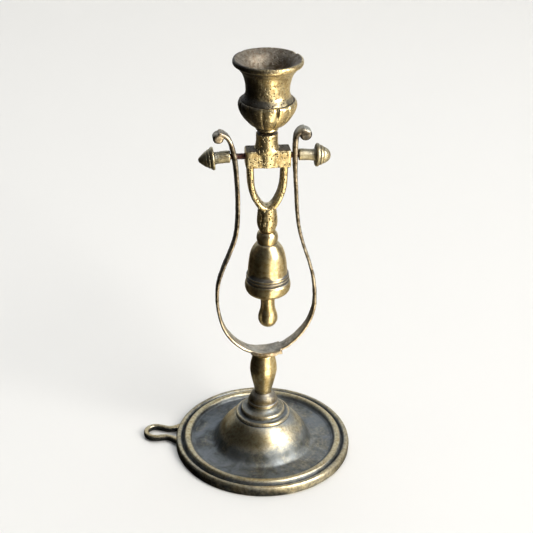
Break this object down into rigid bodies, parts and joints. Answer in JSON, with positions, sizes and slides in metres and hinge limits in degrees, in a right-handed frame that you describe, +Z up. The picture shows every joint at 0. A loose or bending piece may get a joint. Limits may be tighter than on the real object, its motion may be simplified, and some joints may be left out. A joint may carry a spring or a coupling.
{
  "type": "gimballed candlestick",
  "caption": "Brass candlestick on a round dish base with a hanging loop; a lyre frame holds a swinging candle socket above a bell-shaped counterweight.",
  "frame": {"origin": "middle of the object's footprint (base dish and hanging loop together) on the surface it stands on; the stem's axis is 9.4 mm away from it along +X", "axes": "+Z up the stem; +X along the pivot axis of the gimbal, with the hanging loop towards -X; -Y is the front"},
  "size_m": [0.1228, 0.104, 0.2423],
  "materials": {
    "aged_brass": "aged, rubbed brass with dark tarnish in the hollows",
    "base_brass": "tarnished satin brass, greyish in the pan",
    "socket_brass": "dark aged brass, matt grey-brown inside the bore",
    "strip_brass": "dark tarnished strip with worn bright edges",
    "rusty_steel": "thin rusty steel screw thread",
    "lead": "dull grey cast filling"
  },
  "bodies": {
    "stand": {"base_dish": "base_brass", "stem": "aged_brass", "stem_washer": "aged_brass", "stem_nut": "aged_brass", "lyre_frame": "strip_brass"},
    "swinging_head": {"cross_head": "aged_brass", "socket_stud": "rusty_steel", "candle_socket": "socket_brass", "weight_stud": "rusty_steel", "weight_bell": "aged_brass", "weight_core": "lead", "weight_drop": "aged_brass"},
    "left_screw": {"left_pivot_stud": "rusty_steel"},
    "left_screw_knob": {"left_knob": "aged_brass"},
    "right_screw": {"right_pivot_stud": "rusty_steel"},
    "right_screw_knob": {"right_knob": "aged_brass"}
  },
  "joints": [
    {"name": "gimbal_swing", "type": "hinge", "parent": "stand", "child": "swinging_head", "pos_m": [0.0094, 0, 0.1882], "axis": [1, 0, 0], "range_deg": [-160, 160]},
    {"name": "left_screw_feed", "type": "slide", "parent": "swinging_head", "child": "left_screw", "axis": [-1, 0, 0], "range_m": [0, 0.0042]},
    {"name": "left_screw_turn", "type": "hinge", "parent": "left_screw", "child": "left_screw_knob", "pos_m": [-0.0106, 0, 0.1882], "axis": [-1, 0, 0], "range_deg": [0, 2160]},
    {"name": "right_screw_feed", "type": "slide", "parent": "swinging_head", "child": "right_screw", "axis": [1, 0, 0], "range_m": [0, 0.0042]},
    {"name": "right_screw_turn", "type": "hinge", "parent": "right_screw", "child": "right_screw_knob", "pos_m": [0.0294, 0, 0.1882], "axis": [1, 0, 0], "range_deg": [0, 2160]}
  ],
  "couplings": [
    {"joint": "left_screw_turn", "follows": "left_screw_feed", "rad_per_m": 8975.9},
    {"joint": "right_screw_turn", "follows": "right_screw_feed", "rad_per_m": 8975.9}
  ]
}
